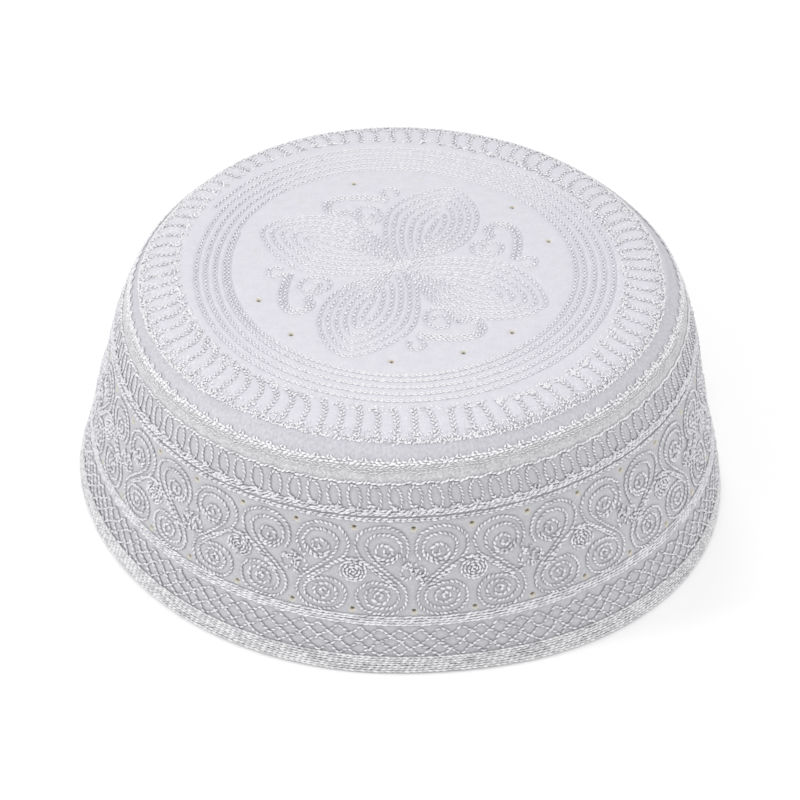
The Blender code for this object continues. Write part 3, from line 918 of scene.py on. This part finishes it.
def openMouths(spots, grid, runs, angles, lift):
    # moves the cloth's points into a round mouth at each eyelet, and says which quads stay
    tall, wide = grid.shape
    kept, mouths = np.ones((tall - 1, wide), bool), []
    for run, angle in spots:
        i = int(np.argmin(abs(runs[:, 0] - run)))
        j = int(round((angle % 360.0) / 360.0 * wide)) % wide
        ring = tuple(zip(*[(i + down, (j + aside) % wide) for down, aside in ringSteps]))
        runs[ring] = run + eyelets["mouthRadius"] * ringDown
        angles[ring] = angle + eyelets["mouthRadius"] * ringAside * degreesPerMm(run)
        lift[ring] = 0.0
        mouths.append(grid[ring])
        kept[[i - 1, i - 1, i, i], [j - 1, j, j - 1, j]] = False
    return kept, mouths


def eyeletWall(mouth, first, corner):
    # quads from the mouth to the inside, and triangles from there to the corners of the flat cloth
    walls, flats = [], []
    for k in range(8):
        low, high = first + k, first + (k + 1) % 8
        walls += [(mouth[(k + 1) % 8], mouth[k], low, high), (high, low, low + 8, high + 8)]
    ring = first + 16
    for k in range(4):
        before, middle, after = ring + (2 * k - 1) % 8, ring + 2 * k, ring + 2 * k + 1
        flats += [(corner[k], middle, before), (corner[k], after, middle)]
    flats += [(corner[k], corner[(k + 1) % 4], ring + 2 * k + 1) for k in range(4)]
    return walls, flats


def buildCloth(name):
    facts = clothPieces[name]
    first, last = facts["runs"]
    thick, wide, onCrown = facts["thick"], facts["around"], name == "crown_cloth"
    spots = [(run, angle) for place, run, angle in eyeletSpots()
             if first < run < last and (place == "crown") == onCrown]
    rows = np.linspace(first, last, int(round((last - first) / facts["step"])) + 1)
    runs, angles = np.meshgrid(rows, np.arange(wide) * 360.0 / wide, indexing="ij")
    lift = clothLift(name, runs, angles)
    grid = np.arange(runs.size).reshape(runs.shape)
    kept, mouths = openMouths(spots, grid, runs, angles, lift)
    # each layer: its points, its polygons and their finish, and the run and angle of its points
    layers = [(onCap(runs, angles, lift), gridQuads(grid)[kept], 0, runs, angles)]
    count = runs.size
    # the cut edges turn in to the back of the cloth
    for row in ((-1,) if onCrown else (0, -1)):
        turnedIn = count + np.arange(wide)
        strip = np.stack([grid[row], np.roll(grid[row], -1), np.roll(turnedIn, -1), turnedIn], -1)
        layers.append((onCap(runs[row], angles[row], -thick), strip, 0, runs[row], angles[row]))
        count += wide
    # the inside, coarser, with its own side of each eyelet
    margin = math.degrees(backMargin / radiusAt(spots[0][0])) if spots else 0.0
    columns = spreadAround(wide // 4, [angle % 360.0 for _, angle in spots], margin)
    rows = np.linspace(first, last, max(len(rows) // 4, 3))
    for run in sorted({round(float(run), 4) for run, _ in spots}):
        inner = rows[1:-1]
        inner = inner[np.abs(inner - run) > backMargin * backClear]
        rows = np.sort(np.r_[first, inner, last, run - backMargin, run + backMargin])
    runs, angles = np.meshgrid(rows, columns, indexing="ij")
    grid = count + np.arange(runs.size).reshape(runs.shape)
    count += runs.size
    kept = np.ones((len(rows) - 1, len(columns)), bool)
    hole, rise = eyelets["crownHole" if onCrown else "sideHole"]
    tubes, walls, flats = [], [], []
    for mouth, (run, angle) in zip(mouths, spots):
        i = int(np.argmin(abs(rows - (run - backMargin))))
        j = int(np.argmin(np.abs((columns - (angle - margin) % 360.0 + 180.0) % 360.0 - 180.0)))
        kept[i, j] = False
        place = run + hole * ringDown - rise, angle + hole * ringAside * degreesPerMm(run)
        # the last ring twice, so the tube's shading stays off the flat back
        tubes += [onCap(*place, -throatDepth)] + [onCap(*place, -thick)] * 2
        beside = (j + 1) % len(columns)
        wall, flat = eyeletWall(mouth, count + 8 * (len(tubes) - 3),
                                (grid[i, j], grid[i, beside], grid[i + 1, beside], grid[i + 1, j]))
        walls += wall
        flats += flat
    layers.append((onCap(runs, angles, -thick), gridQuads(grid)[kept][:, [0, 3, 2, 1]], 1, runs, angles))
    if spots:
        unset = np.zeros(8 * len(tubes))
        layers.append((np.vstack(tubes), np.asarray(walls), 2, unset, unset))
        layers.append((np.zeros((0, 3)), np.asarray(flats), 1, unset[:0], unset[:0]))
    points, faces, finishes, runs, angles = zip(*layers)
    points = np.vstack([p.reshape(-1, 3) for p in points])
    points[:, 2] = np.maximum(points[:, 2], 0.0)             # the hem rests flat
    piece = newPiece(name, points, faces,
                     *(materials[part] for part in (facts["outside"], "innerCloth", "eyeletCloth")))
    finishes = np.repeat(finishes, [len(polygons) for polygons in faces])
    piece.data.polygons.foreach_set("material_index", finishes.astype(np.int32))
    corner = np.zeros(len(piece.data.loops), np.int32)
    piece.data.loops.foreach_get("vertex_index", corner)
    run, angle = (np.concatenate([v.reshape(-1) for v in values])[corner] for values in (runs, angles))
    turn = np.radians((angle + 180.0) % 360.0)
    spread = [turn * mapRadius, run]
    if onCrown:
        radius = radiusAt(np.clip(run, first, last))
        spread = [radius * np.cos(turn), radius * np.sin(turn)]
    uv = piece.data.uv_layers.new(name="clothRun")
    uv.data.foreach_set("uv", np.stack(spread, 1).astype(np.float32).reshape(-1))
    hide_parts(facts["node"])
    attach(piece, "root")
    print(name, "faces", len(piece.data.polygons))


for clothName in clothPieces:
    buildCloth(clothName)

# floor, light and camera
studio = {
    "floorSize": 6.0, "floorColour": (0.85, 0.85, 0.85), "floorGlow": 0.2,
    "worldColour": (0.978, 0.97, 0.98), "worldStrength": 0.69,
    "lights": {
        # name: place, aim, size, power
        "leftKey": ((-1.1, -0.35, 0.62), (0.0, 0.0, 0.03), 0.22, 4.1),
        "frontKey": ((-0.1, -0.75, 1.1), (0.0, 0.0, 0.03), 0.22, 3.4),
        "rightKey": ((1.0, -0.42, 0.6), (0.0, 0.0, 0.03), 0.22, 1.95),
        "backSoftbox": ((-0.2, 0.7, 1.0), (0.0, 0.0, 0.03), 0.3, 1.55),
    },
}
camera = {
    "distance": 693.75, "elevation": 39.057, "aim": (-1.27, 0.0, 21.47), "roll": 1.964, "lens": 107.929,
    "shift": (0.44, -0.03, 0.0),             # from the round cap's middle to the origin under the rim
}


def buildStudio():
    half = studio["floorSize"] / 2.0
    mesh = bpy.data.meshes.new("studio_floor")
    mesh.from_pydata([(-half, -half, 0), (half, -half, 0), (half, half, 0), (-half, half, 0)], [],
                     [(0, 1, 2, 3)])
    floor = addObject("studio_floor", mesh)
    floor.location.z = -0.0001
    material, _, shader = newMaterial("paleFloor")
    shader.inputs["Base Color"].default_value = (*studio["floorColour"], 1.0)
    shader.inputs["Roughness"].default_value = 0.9
    shader.inputs["Emission Color"].default_value = (1.0, 1.0, 1.0, 1.0)
    shader.inputs["Emission Strength"].default_value = studio["floorGlow"]
    mesh.materials.append(material)
    world = bpy.data.worlds.new("studio_world")
    world.use_nodes = True
    sky = world.node_tree.nodes["Background"]
    sky.inputs["Color"].default_value = (*studio["worldColour"], 1.0)
    sky.inputs["Strength"].default_value = studio["worldStrength"]
    bpy.context.scene.world = world
    bpy.context.scene.view_settings.view_transform = "Standard"   # the photograph's plain white
    for name, (place, aim, size, power) in studio["lights"].items():
        light = bpy.data.lights.new(name, "AREA")
        light.size, light.energy = size, power
        lamp = addObject(name, light)
        lamp.location = place
        lamp.rotation_euler = (Vector(aim) - Vector(place)).to_track_quat("-Z", "Y").to_euler()


def buildCamera():
    tilt, roll = math.radians(camera["elevation"]), math.radians(camera["roll"])
    shift = Vector(camera["shift"])
    place = Vector((0.0, -camera["distance"] * math.cos(tilt), camera["distance"] * math.sin(tilt))) + shift
    ahead = (Vector(camera["aim"]) + shift - place).normalized()
    right = ahead.cross(Vector((0.0, 0.0, 1.0))).normalized()
    up = right.cross(ahead)
    xAxis = right * math.cos(roll) + up * math.sin(roll)
    yAxis = up * math.cos(roll) - right * math.sin(roll)
    turn = Matrix((xAxis, yAxis, -ahead)).transposed()
    data = bpy.data.cameras.new("studio_camera")
    data.lens, data.sensor_width, data.sensor_fit = camera["lens"], 36.0, "HORIZONTAL"
    data.clip_start, data.clip_end = 0.01, 20.0
    eye = addObject("studio_camera", data)
    eye.matrix_world = Matrix.Translation(place * mm) @ turn.to_4x4()
    bpy.context.scene.camera = eye


buildStudio()
buildCamera()
print("studio ready")
